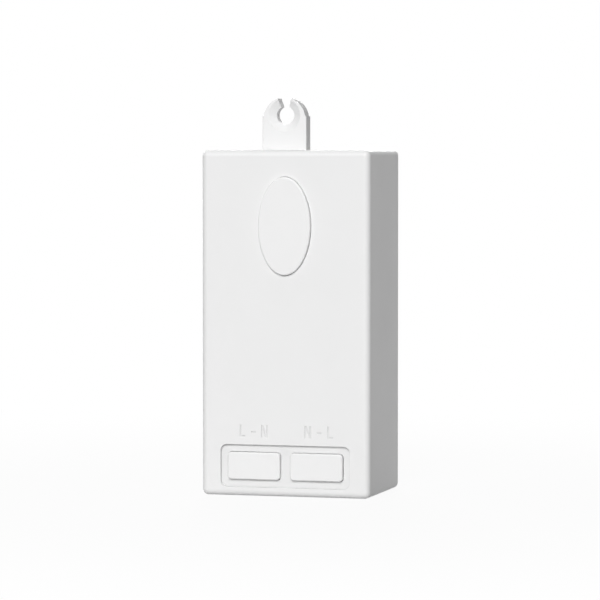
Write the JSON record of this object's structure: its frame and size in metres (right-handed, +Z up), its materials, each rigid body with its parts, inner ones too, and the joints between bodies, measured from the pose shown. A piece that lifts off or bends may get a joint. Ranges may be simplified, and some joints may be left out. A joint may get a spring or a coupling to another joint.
{
  "type": "kinetic wireless switch receiver",
  "caption": "White box-shaped receiver module of a kinetic wireless switch, with an oval key, two terminal keys and a rear hang tab.",
  "frame": {"origin": "middle of the underside of the housing, halfway between the oval key's face and the rear cover", "axes": "+Z up towards the hang tab, +Y from the front face to the rear cover, +X to the right seen from the front"},
  "size_m": [0.0402, 0.0284, 0.0922],
  "materials": {
    "housing_plastic": "satin white moulded plastic, fine and even",
    "key_plastic": "satin white moulded plastic, a shade lighter than the housing",
    "screw_zinc": "zinc plated",
    "board_laminate": "green solder mask on glass laminate",
    "terminal_plastic": "light grey polyamide",
    "tinned_brass": "tinned",
    "spring_steel": "bright rolled strip",
    "relay_case_plastic": "blue moulded case",
    "moulded_black": "black moulding compound",
    "magnetic_iron": "plated soft iron",
    "ferrite": "dull dark grey ferrite",
    "copper_winding": "enamelled copper wire",
    "winding_tape": "yellow polyester tape",
    "resistor_ceramic": "cream ceramic",
    "varistor_coat": "blue dipped epoxy",
    "film_case": "yellow potted case",
    "capacitor_sleeve": "black shrink sleeve",
    "nylon": "natural nylon",
    "plunger_plastic": "black plastic",
    "crystal_can": "nickel plated lid",
    "led_lens": "clear lens over a white base"
  },
  "bodies": {
    "root": {"antenna_wire": "copper_winding", "board_spacers": "nylon", "bridge_rectifier": "moulded_black", "contact_dome": "spring_steel", "control_board": "board_laminate", "crystal": "crystal_can", "film_capacitor": "film_case", "flyback_diode": "moulded_black", "front_housing": "housing_plastic", "fusible_resistor": "resistor_ceramic", "fusible_resistor_leads": "tinned_brass", "housing_screws": "screw_zinc", "input_clamp_springs": "spring_steel", "input_contact_strips": "tinned_brass", "input_terminal_block": "terminal_plastic", "link_header": "moulded_black", "link_pins": "tinned_brass", "main_board": "board_laminate", "microcontroller": "moulded_black", "output_capacitor": "capacitor_sleeve", "output_clamp_springs": "spring_steel", "output_contact_strips": "tinned_brass", "output_terminal_block": "terminal_plastic", "radio_chip": "moulded_black", "rear_cover": "housing_plastic", "relay_base": "moulded_black", "relay_bobbin": "moulded_black", "relay_case": "relay_case_plastic", "relay_core": "magnetic_iron", "relay_driver": "moulded_black", "relay_fixed_contact": "tinned_brass", "relay_pins": "tinned_brass", "relay_winding": "copper_winding", "relay_yoke": "magnetic_iron", "reservoir_capacitor": "capacitor_sleeve", "status_led": "led_lens", "supply_chip": "moulded_black", "tact_base": "moulded_black", "tact_cover": "spring_steel", "transformer_bobbin": "moulded_black", "transformer_core": "ferrite", "transformer_pins": "tinned_brass", "transformer_winding": "winding_tape", "varistor": "varistor_coat"},
    "oval_key": {"oval_key": "key_plastic"},
    "tact_plunger": {"tact_plunger": "plunger_plastic"},
    "input_key": {"input_key": "key_plastic"},
    "output_key": {"output_key": "key_plastic"},
    "relay_armature": {"relay_armature": "magnetic_iron", "relay_contact_leaf": "tinned_brass"}
  },
  "joints": [
    {"name": "oval_key_press", "type": "slide", "parent": "root", "child": "oval_key", "axis": [0, 1, 0], "range_m": [0, 0.0003], "stiffness_N_per_m": 3000, "springref_m": -0.0003, "deforming": ["contact_dome"]},
    {"name": "tact_plunger_press", "type": "slide", "parent": "root", "child": "tact_plunger", "axis": [0, 1, 0], "range_m": [0, 0.0003], "deforming": ["contact_dome"]},
    {"name": "input_key_press", "type": "slide", "parent": "root", "child": "input_key", "axis": [0, 1, 0], "range_m": [0, 0.0009], "stiffness_N_per_m": 6000, "springref_m": -0.0004, "deforming": ["input_clamp_springs"]},
    {"name": "output_key_press", "type": "slide", "parent": "root", "child": "output_key", "axis": [0, 1, 0], "range_m": [0, 0.0009], "stiffness_N_per_m": 6000, "springref_m": -0.0004, "deforming": ["output_clamp_springs"]},
    {"name": "relay_armature_swing", "type": "hinge", "parent": "root", "child": "relay_armature", "pos_m": [-0.0089, -0.00625, 0.0251], "axis": [-1, 0, 0], "range_deg": [0, 3.2], "stiffness_Nm_per_rad": 0.01, "springref_deg": -2.86}
  ],
  "couplings": [
    {"joint": "tact_plunger_press", "follows": "oval_key_press", "ratio": 1}
  ]
}
